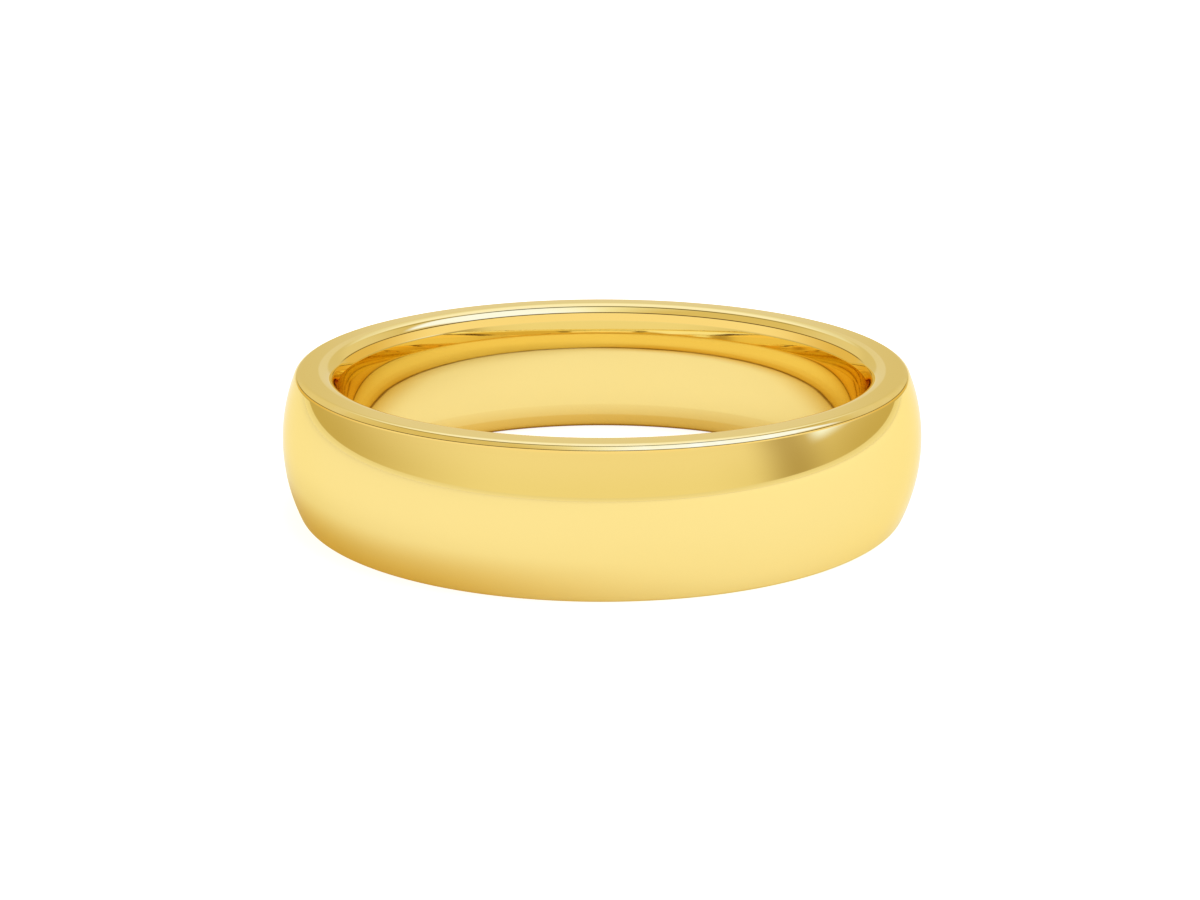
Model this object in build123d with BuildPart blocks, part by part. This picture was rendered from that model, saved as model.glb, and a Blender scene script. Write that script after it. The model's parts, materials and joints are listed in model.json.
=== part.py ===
from math import cos, radians, sin, tan
import os

from build123d import *

# A plain wedding band, turned from one piece of gold.
# The finger axis is Z, and the origin is the middle of the finger hole, halfway along the width.
# Millimetres throughout, and degrees for angles.

# Driving dimensions
inside_diameter = 18.0    # across the bore land: ring size 56.5, or US 7 3/4
band_width = 5.0          # along the finger, between the two side faces
wall_thickness = 2.05     # at the middle of the width
crown_height = 0.56       # how far the middle of the dome stands out beyond its two edges
outer_edge_radius = 0.33  # rounding between the dome and a side face
bore_land_width = 0.72    # straight cylindrical stretch at the middle of the inside

# Sizes worked out from them
bore_radius = inside_diameter / 2
outer_radius = bore_radius + wall_thickness
half_width = band_width / 2
half_land = bore_land_width / 2
dome_edge = outer_radius - crown_height

# How the inside opens from the bore land to a side face: the height above the middle, and
# how far the surface leans outwards there. One arc joins each to the next.
inside_curve = [
    (half_land, 0.0),
    (1.42, 3.6),         # the long comfort curve
    (1.46, 7.4),         # a faint crease
    (1.86, 8.8),         # a nearly straight cone
    (1.91, 21.0),        # a stronger crease
    (2.16, 26.0),        # the flare
    (half_width, 90.0),  # the rounded inner edge, which runs into the side face
]


# The band: one closed ring, domed outside, flat on both side faces, and opened out in steps
# on each side of the bore land so that it slides over a knuckle easily.
with BuildPart() as band:
    with BuildSketch(Plane.XZ) as section:
        with BuildLine():
            Line((bore_radius, -half_land), (bore_radius, half_land))
            ThreePointArc((dome_edge, -half_width), (outer_radius, 0), (dome_edge, half_width))
            for side in (1, -1):
                radius = bore_radius
                for (height, lean), (next_height, next_lean) in zip(inside_curve, inside_curve[1:]):
                    chord_lean = radians((lean + next_lean) / 2)
                    next_radius = radius + (next_height - height) * tan(chord_lean)
                    TangentArc(
                        (radius, side * height),
                        (next_radius, side * next_height),
                        tangent=(sin(radians(lean)), side * cos(radians(lean))),
                    )
                    radius = next_radius
                Line((radius, side * half_width), (dome_edge, side * half_width))
        make_face()
        dome_corners = section.vertices().group_by(Axis.X)[-1]
        fillet(dome_corners, outer_edge_radius)
    revolve(axis=Axis.Z)
band.part.label = "band"

os.makedirs("parts", exist_ok=True)
export_step(band.part, "parts/band.step")
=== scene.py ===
import json
import math

import bpy
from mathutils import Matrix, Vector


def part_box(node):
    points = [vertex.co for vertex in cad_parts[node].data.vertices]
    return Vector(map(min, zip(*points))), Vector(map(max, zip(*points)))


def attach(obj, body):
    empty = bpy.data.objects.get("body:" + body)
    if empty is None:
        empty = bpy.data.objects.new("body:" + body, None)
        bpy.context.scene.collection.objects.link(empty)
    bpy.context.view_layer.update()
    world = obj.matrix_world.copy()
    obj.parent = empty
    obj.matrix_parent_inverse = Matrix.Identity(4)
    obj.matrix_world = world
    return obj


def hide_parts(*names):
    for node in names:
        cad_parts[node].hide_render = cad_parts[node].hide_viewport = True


# A plain, mirror-polished wedding band, lying flat on a white studio floor.
# Metres throughout. The finger axis is Z, and the origin is the middle of the finger hole.
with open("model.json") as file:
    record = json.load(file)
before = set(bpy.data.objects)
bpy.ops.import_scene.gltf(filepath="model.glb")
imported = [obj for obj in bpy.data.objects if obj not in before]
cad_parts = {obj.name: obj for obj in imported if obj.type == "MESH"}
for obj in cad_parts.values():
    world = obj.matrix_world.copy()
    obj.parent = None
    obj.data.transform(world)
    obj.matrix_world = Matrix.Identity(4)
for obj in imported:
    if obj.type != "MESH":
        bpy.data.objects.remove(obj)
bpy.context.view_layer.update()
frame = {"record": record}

# ---------------------------------------------------------------- sizes
MM = 0.001
band_low, band_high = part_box("band")
bore = next(mount for mount in frame["record"]["mounts"] if mount["name"] == "finger_bore")

# The CAD mesh at its narrowest, so that the finer mesh made here stays inside it.
outer_radius = min(-band_low.x, -band_low.y, band_high.x, band_high.y)
half_width = band_high.z
bore_radius = bore["dims"]["r_mm"] * MM
half_land = bore["dims"]["length_mm"] * MM / 2
crown_height = 0.56 * MM       # how far the middle of the dome stands out beyond its edges
outer_edge_radius = 0.33 * MM

# How the inside opens from the bore land to a side face, as in the CAD: the height above the middle,
# how many degrees the surface leans outwards there, and the facets on the arc that leads there.
inside_curve = [
    (half_land, 0.0, 2),
    (1.42 * MM, 3.6, 8),        # the long comfort curve
    (1.46 * MM, 7.4, 4),        # a faint crease
    (1.86 * MM, 8.8, 4),        # a nearly straight cone
    (1.91 * MM, 21.0, 6),       # a stronger crease
    (2.16 * MM, 26.0, 6),       # the flare
    (half_width, 90.0, 20),     # the rounded inner edge, which runs into the side face
]

facets_round = 384
facets_on_dome = 24
facets_on_outer_edge = 14
facets_on_side_face = 6


# ---------------------------------------------------------------- the band's shape
def arc(centre, radius, start, end, facets):
    """Points on an arc of the section, each (r, z, outward r, outward z), from one angle to another."""
    points = []
    for i in range(facets + 1):
        angle = start + (end - start) * i / facets
        points.append((centre[0] + radius * math.cos(angle), centre[1] + radius * math.sin(angle),
                       math.cos(angle), math.sin(angle)))
    return points


def inside():
    """Points up the inside, from the middle of the width to the side face."""
    points = [(bore_radius, 0.0, -1.0, 0.0)]
    height, lean = 0.0, 0.0
    for next_height, next_lean, facets in inside_curve:
        radius = points[-1][0]
        next_lean = math.radians(next_lean)
        for i in range(1, facets + 1):
            # Equal steps of lean, and on an arc the height goes with the sine of the lean.
            part = i / facets
            now = lean + (next_lean - lean) * part
            if next_lean > lean:
                part = (math.sin(now) - math.sin(lean)) / (math.sin(next_lean) - math.sin(lean))
            rise = (next_height - height) * part
            points.append((radius + rise * math.tan((lean + now) / 2), height + rise,
                           -math.cos(now), math.sin(now)))
        height, lean = next_height, next_lean
    return points


def section():
    """The closed outline of the band's section: dome, rounded edges, side faces and inside."""
    edge = half_width - outer_edge_radius
    dome_radius = (half_width ** 2 + crown_height ** 2) / (2 * crown_height)
    dome_centre = outer_radius - dome_radius
    shoulder = math.asin(edge / (dome_radius - outer_edge_radius))
    outer_edge = dome_centre + (dome_radius - outer_edge_radius) * math.cos(shoulder)

    dome = arc((dome_centre, 0), dome_radius, 0, shoulder, facets_on_dome)
    rounding = arc((outer_edge, edge), outer_edge_radius, shoulder, math.pi / 2, facets_on_outer_edge)
    hollow = inside()[::-1]
    step = (hollow[0][0] - outer_edge) / facets_on_side_face
    side_face = [(outer_edge + step * i, half_width, 0, 1) for i in range(1, facets_on_side_face)]
    upper = dome + rounding[1:] + side_face + hollow
    lower = [(r, -z, nr, -nz) for r, z, nr, nz in reversed(upper[1:-1])]
    return upper + lower


def turn(name, outline):
    """A closed ring turned from an outline round Z, with each point's exact normal."""
    vertices, normals, faces = [], [], []
    for i in range(facets_round):
        angle = 2 * math.pi * i / facets_round
        c, s = math.cos(angle), math.sin(angle)
        for r, z, nr, nz in outline:
            vertices.append((r * c, r * s, z))
            normals.append((nr * c, nr * s, nz))
    count = len(outline)
    for i in range(facets_round):
        here, there = i * count, (i + 1) % facets_round * count
        for k in range(count):
            n = (k + 1) % count
            faces.append((here + k, there + k, there + n, here + n))
    mesh = bpy.data.meshes.new(name)
    mesh.from_pydata(vertices, [], faces)
    mesh.polygons.foreach_set("use_smooth", [True] * len(faces))
    mesh.normals_split_custom_set_from_vertices(normals)
    piece = bpy.data.objects.new(name, mesh)
    bpy.context.scene.collection.objects.link(piece)
    return piece


# ---------------------------------------------------------------- node helpers
def feed(tree, socket, value):
    """Gives a socket a plain value or links it to another node's output."""
    if isinstance(value, bpy.types.NodeSocket):
        tree.links.new(value, socket)
    else:
        socket.default_value = value


def calc(tree, operation, *values):
    """The output of a Math node."""
    node = tree.nodes.new("ShaderNodeMath")
    node.operation = operation
    for socket, value in zip(node.inputs, values):
        feed(tree, socket, value)
    return node.outputs[0]


def vector(tree, operation, *values):
    """The vector output of a Vector Math node."""
    node = tree.nodes.new("ShaderNodeVectorMath")
    node.operation = operation
    for socket, value in zip(node.inputs, values):
        feed(tree, socket, value)
    return node.outputs["Vector"]


def parts_of(tree, value):
    """The x, y and z of a vector."""
    node = tree.nodes.new("ShaderNodeSeparateXYZ")
    tree.links.new(value, node.inputs[0])
    return node.outputs


def ramp(tree, value, start, end, low=0.0, high=1.0):
    """low up to start and high from end on, with a smooth change between."""
    node = tree.nodes.new("ShaderNodeMapRange")
    node.interpolation_type = "SMOOTHSTEP"
    for name, number in (("Value", value), ("From Min", start), ("From Max", end),
                         ("To Min", low), ("To Max", high)):
        feed(tree, node.inputs[name], number)
    return node.outputs[0]


def band_of(tree, value, centre, half, blur):
    """1 within half of the centre and 0 outside, with edges blurred over that width."""
    rising = ramp(tree, value, centre - half - blur / 2, centre - half + blur / 2)
    falling = ramp(tree, value, centre + half + blur / 2, centre + half - blur / 2)
    return calc(tree, "MULTIPLY", rising, falling)


def over(tree, below, above, mask):
    """One colour over another, by a mask."""
    node = tree.nodes.new("ShaderNodeMix")
    node.data_type = "RGBA"
    feed(tree, node.inputs[0], mask)
    for socket, colour in ((node.inputs[6], below), (node.inputs[7], above)):
        feed(tree, socket, colour if isinstance(colour, bpy.types.NodeSocket) else (*colour, 1.0))
    return node.outputs[2]


# ---------------------------------------------------------------- gold
# Colours here and below are linear red, green and blue.
gold_light = (0.967, 0.766, 0.287)
gold_dark = (0.962, 0.754, 0.272)
gold_worn = (0.972, 0.785, 0.325)
gold_glancing = (0.99, 0.92, 0.65)
gold_deep = (0.94, 0.90, 0.60)
deep_after = 2.5     # a reflection with more than this many before it takes gold_deep


def noise(tree, coordinates, scale, detail):
    """The value of a Noise Texture: how many patches to a unit of the coordinates, and their detail."""
    node = tree.nodes.new("ShaderNodeTexNoise")
    node.inputs["Scale"].default_value = scale
    node.inputs["Detail"].default_value = detail
    tree.links.new(coordinates, node.inputs["Vector"])
    return node.outputs["Fac"]


def polishing_lines(tree, place, radius, z):
    """Lines that run round the band: quick changes across the section, slow ones along it."""
    lines_per_metre = 9000.0
    patches_round = 5.0
    line_noise = (1.0, 3.0)
    across = calc(tree, "MULTIPLY", calc(tree, "ADD", radius, z), lines_per_metre)
    lift = tree.nodes.new("ShaderNodeCombineXYZ")
    tree.links.new(across, lift.inputs["Z"])
    flat = vector(tree, "NORMALIZE", vector(tree, "MULTIPLY", place, (1, 1, 0)))
    around = vector(tree, "MULTIPLY", flat, (patches_round, patches_round, 0))
    return noise(tree, vector(tree, "ADD", around, lift.outputs[0]), *line_noise)


def worn_edges(tree, place, radius, height):
    """Where handling wears the rounded outer edge of each side face."""
    reach = 0.28 * MM
    rub_noise = (900.0, 4.0)
    rub_range = (0.42, 0.62)
    dome_edge = outer_radius - crown_height
    near_face = ramp(tree, height, half_width - reach, half_width - reach / 3)
    outer_rim = ramp(tree, radius, dome_edge - reach, dome_edge)
    rubbed = ramp(tree, noise(tree, place, *rub_noise), *rub_range)
    return calc(tree, "MULTIPLY", calc(tree, "MULTIPLY", near_face, outer_rim), rubbed)


def gold():
    """Mirror-polished yellow gold, with faint traces of the lathe, the buff and of handling."""
    cloud_noise = (160.0, 2.0)
    line_range = (0.25, 0.75)
    line_roughness = (0.018, 0.042)
    smudge_noise = (420.0, 3.0)
    smudge_range = (0.50, 0.75)
    smudge_roughness = (0.0, 0.012)
    wear_roughness = 0.03
    bump_strength = 0.10
    bump_height = 0.0006 * MM

    material = bpy.data.materials.new("polished_gold")
    material.use_nodes = True
    tree = material.node_tree
    shader = tree.nodes["Principled BSDF"]
    shader.inputs["Metallic"].default_value = 1.0
    shader.inputs["Specular Tint"].default_value = (*gold_glancing, 1.0)

    place = tree.nodes.new("ShaderNodeTexCoord").outputs["Object"]
    x, y, z = parts_of(tree, place)
    radius_squared = calc(tree, "ADD", calc(tree, "MULTIPLY", x, x), calc(tree, "MULTIPLY", y, y))
    radius = calc(tree, "SQRT", radius_squared)
    lines = polishing_lines(tree, place, radius, z)
    wear = worn_edges(tree, place, radius, calc(tree, "ABSOLUTE", z))

    tone = over(tree, gold_light, gold_dark, noise(tree, place, *cloud_noise))
    tone = over(tree, tone, gold_worn, wear)
    # Deep reflections use a paler gold, so that they don't turn red.
    met = tree.nodes.new("ShaderNodeLightPath").outputs["Ray Depth"]
    tone = over(tree, tone, gold_deep, calc(tree, "GREATER_THAN", met, deep_after))
    tree.links.new(tone, shader.inputs["Base Color"])

    roughness = ramp(tree, lines, *line_range, *line_roughness)
    smudges = ramp(tree, noise(tree, place, *smudge_noise), *smudge_range, *smudge_roughness)
    roughness = calc(tree, "ADD", roughness, smudges)
    roughness = calc(tree, "MULTIPLY_ADD", wear, wear_roughness, roughness)
    tree.links.new(roughness, shader.inputs["Roughness"])

    bump = tree.nodes.new("ShaderNodeBump")
    bump.inputs["Strength"].default_value = bump_strength
    bump.inputs["Distance"].default_value = bump_height
    tree.links.new(lines, bump.inputs["Height"])
    tree.links.new(bump.outputs["Normal"], shader.inputs["Normal"])
    return material


# ---------------------------------------------------------------- the studio seen in the gold
# Its places and colours were tuned by comparing renders with the photo, and by pixel values.
# The softboxes are bluish because the gold takes most of the blue away.
# Angles are in degrees, and compass angles are 0 towards the camera and 90 to the right. The other
# places are parts of a whole: x and y of the direction, and how far a wall turns aside.
# In the functions below, a pair of places says where a change starts and ends, and three are the
# middle of a band, half its width and the blur of its edges.
white = (1.0, 1.0, 1.0)
wall_pale = (0.90, 0.85, 0.65)
wall_gold = (0.60, 0.50, 0.25)
wall_top = (0.95, 0.90, 0.80)
stripe_dark = (0.30, 0.20, 0.05)
small_softbox = (1.03, 1.26, 2.2)
cornice_pale = (1.00, 0.90, 0.70)
cornice_gold = (0.80, 0.60, 0.25)
ceiling_left = (0.74, 0.64, 0.38)
ceiling_right = (0.70, 0.61, 0.36)
ceiling_aside = (0.80, 0.75, 0.64)
overhead_left = (1.02, 1.12, 1.3)
overhead_right = (1.03, 1.27, 2.6)
backdrop_high = (1.03, 1.11, 1.55)
backdrop_low = (0.87, 0.92, 1.12)
far_wall_middle = (0.80, 0.79, 0.86)
far_wall_side = (0.73, 0.68, 0.56)
low_gap_across = (0.10, 0.06, 0.02)
low_gap_aside = (0.28, 0.20, 0.07)
high_gap_middle = (0.15, 0.13, 0.09)
high_gap_side = (0.42, 0.37, 0.22)
floor_edge = (0.86, 0.83, 0.70)
floor_beyond = (0.97, 0.965, 0.95)


def mirroring_wall(tree, direction):
    """The inner wall that mirrors this direction to a viewer at the front.

    Gives its lean, in degrees, and its turn: 0 straight across from the viewer, 1 at either side.
    The viewer is a fixed direction in the scene. It is near, so the line of sight turns a little
    towards the sides of the hole.
    """
    height_of_viewer = math.radians(14.0)
    turn_of_sight = 0.125
    viewer = (0, -math.cos(height_of_viewer), math.sin(height_of_viewer))
    level = vector(tree, "MULTIPLY", vector(tree, "ADD", direction, viewer), (1, 1, 0))
    aside = vector(tree, "MULTIPLY", vector(tree, "NORMALIZE", level), (turn_of_sight, 0, 0))
    halfway = vector(tree, "ADD", direction, vector(tree, "ADD", aside, viewer))
    upward = parts_of(tree, vector(tree, "NORMALIZE", halfway))[2]
    lean = calc(tree, "MULTIPLY", calc(tree, "ARCSINE", upward), 180 / math.pi)
    facing = vector(tree, "NORMALIZE", vector(tree, "MULTIPLY", halfway, (1, 1, 0)))
    return lean, calc(tree, "ABSOLUTE", parts_of(tree, facing)[0])


def walls(tree, azimuth, from_front, elevation):
    """Pale in front, golden at the sides and behind, and paler towards the top.

    On the right they have one dark stripe and a small softbox.
    """
    gold_to_pale = (110, 30)
    towards_top = (3, 25)
    top_share = (0.0, 0.5)    # how much of wall_top shows at each of those heights
    stripe = (70, 5, 30)
    softbox_round = (93, 11, 10)
    softbox_up = (23, 8, 6)
    sky = over(tree, wall_gold, wall_pale, ramp(tree, from_front, *gold_to_pale))
    sky = over(tree, sky, wall_top, ramp(tree, elevation, *towards_top, *top_share))
    sky = over(tree, sky, stripe_dark, band_of(tree, azimuth, *stripe))
    across = band_of(tree, azimuth, *softbox_round)
    upward = band_of(tree, elevation, *softbox_up)
    return over(tree, sky, small_softbox, calc(tree, "MULTIPLY", across, upward))


def cornice(tree, sky, from_front, tilt):
    """A cornice of light between the walls and the ceiling."""
    gold_to_pale = (130, 80)
    lower_edge = (21.0, 22.0)
    colour = over(tree, cornice_gold, cornice_pale, ramp(tree, from_front, *gold_to_pale))
    return over(tree, sky, colour, ramp(tree, tilt, *lower_edge))


def ceiling(tree, sky, x, over_top, tilt, turn_aside):
    """The golden ceiling, and in it a softbox, soft towards the left and sharp on the right."""
    lower_edge = (30.5, 32)
    left_to_right = (0.2, 0.4)
    across_to_aside = (0.70, 0.95)
    softbox_left = (-0.40, 0.15)
    softbox_right = (0.82, 0.70)
    softbox_back = (122, 112)
    softbox_turns_blue = (-0.1, 0.35)

    shown = ramp(tree, tilt, *lower_edge)
    colour = over(tree, ceiling_left, ceiling_right, ramp(tree, x, *left_to_right))
    colour = over(tree, colour, ceiling_aside, ramp(tree, turn_aside, *across_to_aside))
    sky = over(tree, sky, colour, shown)

    softbox = calc(tree, "MULTIPLY", ramp(tree, x, *softbox_left), ramp(tree, x, *softbox_right))
    softbox = calc(tree, "MULTIPLY", softbox, ramp(tree, over_top, *softbox_back))
    softbox = calc(tree, "MULTIPLY", softbox, shown)
    colour = over(tree, overhead_left, overhead_right, ramp(tree, x, *softbox_turns_blue))
    return over(tree, sky, colour, softbox)


def backdrop(tree, sky, far_wall, over_top, tilt):
    """The bright backdrop behind the band, down to the far wall."""
    high_to_low = (132, 146)
    low_to_wall = (146, 160)
    lower_edge = (59, 61)
    colour = over(tree, backdrop_high, backdrop_low, ramp(tree, over_top, *high_to_low))
    colour = over(tree, colour, far_wall, ramp(tree, over_top, *low_to_wall))
    return over(tree, sky, colour, ramp(tree, tilt, *lower_edge))


def dark_gaps(tree, sky, off_centre, tilt, turn_aside):
    """One gap below the ceiling, and one, which fades to the sides, between it and the backdrop."""
    low_gap = (30.5, 1.6, 1.2)
    low_across_to_aside = (0.6, 0.9)
    high_gap = (56.5, 2.0, 1.5)
    high_middle_to_side = (0.25, 0.4)
    high_gap_fades = (0.92, 0.68)
    colour = over(tree, low_gap_across, low_gap_aside, ramp(tree, turn_aside, *low_across_to_aside))
    sky = over(tree, sky, colour, band_of(tree, tilt, *low_gap))
    colour = over(tree, high_gap_middle, high_gap_side, ramp(tree, off_centre, *high_middle_to_side))
    shown = calc(tree, "MULTIPLY", band_of(tree, tilt, *high_gap), ramp(tree, turn_aside, *high_gap_fades))
    return over(tree, sky, colour, shown)


def far_end(tree, sky, far_wall, y, elevation, tilt):
    """Straight behind, the ceiling and the cornice run out into the far wall.

    Below everything, all round, is the far edge of the floor.
    """
    run_out_back = (0.82, 0.93)
    run_out_up = (18, 26)
    edge_top = (2.2, 1.9)
    edge_to_beyond = (1.9, -1.0)
    run_out = calc(tree, "MULTIPLY", ramp(tree, y, *run_out_back), ramp(tree, tilt, *run_out_up))
    sky = over(tree, sky, far_wall, run_out)
    sky = over(tree, sky, floor_edge, ramp(tree, elevation, *edge_top))
    return over(tree, sky, floor_beyond, ramp(tree, elevation, *edge_to_beyond))


def studio():
    """The surroundings that the gold mirrors, drawn on the world; the camera sees plain white."""
    world = bpy.data.worlds.new("studio")
    bpy.context.scene.world = world
    world.use_nodes = True
    tree = world.node_tree
    background = tree.nodes["Background"]

    direction = tree.nodes.new("ShaderNodeTexCoord").outputs["Generated"]
    x, y, z = parts_of(tree, direction)
    to_front = calc(tree, "MULTIPLY", y, -1.0)
    degrees = 180 / math.pi
    azimuth = calc(tree, "MULTIPLY", calc(tree, "ARCTAN2", x, to_front), degrees)
    elevation = calc(tree, "MULTIPLY", calc(tree, "ARCSINE", z), degrees)
    over_top = calc(tree, "MULTIPLY", calc(tree, "ARCTAN2", z, to_front), degrees)
    from_front = calc(tree, "ABSOLUTE", azimuth)
    off_centre = calc(tree, "ABSOLUTE", x)
    tilt, turn_aside = mirroring_wall(tree, direction)

    middle_to_side = (0.09, 0.15)
    far_wall = over(tree, far_wall_middle, far_wall_side, ramp(tree, off_centre, *middle_to_side))

    sky = walls(tree, azimuth, from_front, elevation)
    sky = cornice(tree, sky, from_front, tilt)
    sky = ceiling(tree, sky, x, over_top, tilt, turn_aside)
    sky = backdrop(tree, sky, far_wall, over_top, tilt)
    sky = dark_gaps(tree, sky, off_centre, tilt, turn_aside)
    sky = far_end(tree, sky, far_wall, y, elevation, tilt)
    seen = tree.nodes.new("ShaderNodeLightPath").outputs["Is Camera Ray"]
    sky = over(tree, sky, white, seen)
    tree.links.new(sky, background.inputs["Color"])
    background.inputs["Strength"].default_value = 1.0


# ---------------------------------------------------------------- the floor
table_colour = (0.60, 0.60, 0.55)
# Painted shadow with painted golden bounce light near the band: the table darker and warmer there.
painted_warm_shadow_colour = (0.50, 0.40, 0.18)
table_glow = (0.985, 0.97, 0.90)
painted_warm_shadow_glow = (0.85, 0.66, 0.28)
# Painted contact shadow: the table's glow under the band's lower side face.
painted_contact_shadow_glow = (0.30, 0.16, 0.04)


def light_table():
    """White and softly glowing, with painted light and shade on it for the gold to mirror.

    One is a painted warm shadow close to the band, with painted golden bounce light, mostly on the
    left, away from the softbox. The other is a painted contact shadow, a dark ring where the band's
    lower side face covers the table. The camera sees white, but for a faint warm tint next to the band.
    """
    # A painted warm shadow round the band, stronger on the left, away from the softbox.
    painted_warm_shadow_band = (9.9 * MM, 1.7 * MM, 3.0 * MM)
    painted_warm_shadow_slant = -0.5
    right_to_left = (10 * MM, -2 * MM)
    # A painted contact shadow in a ring under the band's lower side face.
    contact_shadow_ring = (9.86 * MM, 0.44 * MM, 0.08 * MM)
    glow_strength = 0.38
    more_when_seen = 0.50    # for camera rays

    material = bpy.data.materials.new("light_table")
    material.use_nodes = True
    tree = material.node_tree
    shader = tree.nodes["Principled BSDF"]
    shader.inputs["Roughness"].default_value = 1.0
    shader.inputs["Specular IOR Level"].default_value = 0.0

    place = tree.nodes.new("ShaderNodeTexCoord").outputs["Object"]
    length = tree.nodes.new("ShaderNodeVectorMath")
    length.operation = "LENGTH"
    tree.links.new(place, length.inputs[0])
    away = length.outputs["Value"]
    x, y = parts_of(tree, place)[:2]
    leftward = ramp(tree, calc(tree, "MULTIPLY_ADD", y, painted_warm_shadow_slant, x), *right_to_left)
    painted_warm_shadow = calc(tree, "MULTIPLY", band_of(tree, away, *painted_warm_shadow_band), leftward)
    painted_contact_shadow = band_of(tree, away, *contact_shadow_ring)
    seen = tree.nodes.new("ShaderNodeLightPath").outputs["Is Camera Ray"]

    # The painted warm shadow darkens and warms both the table's colour and its glow.
    tree.links.new(over(tree, table_colour, painted_warm_shadow_colour, painted_warm_shadow), shader.inputs["Base Color"])
    glow = over(tree, table_glow, painted_warm_shadow_glow, painted_warm_shadow)
    # The painted contact shadow darkens the glow; camera rays get white instead.
    glow = over(tree, glow, painted_contact_shadow_glow, painted_contact_shadow)
    glow = over(tree, glow, white, seen)
    tree.links.new(glow, shader.inputs["Emission Color"])
    strength = calc(tree, "MULTIPLY_ADD", seen, more_when_seen, glow_strength)
    tree.links.new(strength, shader.inputs["Emission Strength"])
    return material


def floor():
    """A round light table under the band."""
    radius = 1.2
    sides = 96
    rim = []
    for i in range(sides):
        angle = 2 * math.pi * i / sides
        rim.append((radius * math.cos(angle), radius * math.sin(angle), 0))
    mesh = bpy.data.meshes.new("floor")
    mesh.from_pydata(rim, [], [list(range(sides))])
    mesh.materials.append(light_table())
    thing = bpy.data.objects.new("floor", mesh)
    thing.location.z = -half_width
    bpy.context.scene.collection.objects.link(thing)


# ---------------------------------------------------------------- light and camera
def softbox():
    """A soft light from the right, for the floor; the gold shows the studio's own panels instead."""
    aside, forward, height = 0.16, 0.02, 0.30
    data = bpy.data.lights.new("softbox", "AREA")
    data.size = 0.35
    data.energy = 0.5
    thing = bpy.data.objects.new("softbox", data)
    thing.location = (aside, -forward, height)
    thing.rotation_euler = (0, math.atan2(aside, height), 0)
    thing.visible_glossy = False
    bpy.context.scene.collection.objects.link(thing)


def camera():
    """A long lens a little above the band, looking down at it from the front.

    Its place, aim and lens were fitted to the band's outline in the photo.
    """
    elevation = math.radians(16.26)
    distance = 70.53 * MM
    aim = (-0.072 * MM, 0.0, -0.706 * MM)
    data = bpy.data.cameras.new("camera")
    data.lens = 60.34
    data.sensor_width = 36.0
    data.clip_start = 1 * MM
    data.clip_end = 10.0
    thing = bpy.data.objects.new("camera", data)
    thing.location = (aim[0], aim[1] - distance * math.cos(elevation),
                      aim[2] + distance * math.sin(elevation))
    thing.rotation_euler = (math.pi / 2 - elevation, 0, 0)
    bpy.context.scene.collection.objects.link(thing)
    bpy.context.scene.camera = thing


# ---------------------------------------------------------------- the scene
band = turn("gold_band", section())
band.data.materials.append(gold())
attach(band, "root")
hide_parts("band")
floor()
studio()
softbox()
camera()

# The inside of the band mirrors itself many times over.
bounces = 24
scene = bpy.context.scene
scene.view_settings.view_transform = "Standard"
scene.cycles.max_bounces = bounces
scene.cycles.glossy_bounces = bounces
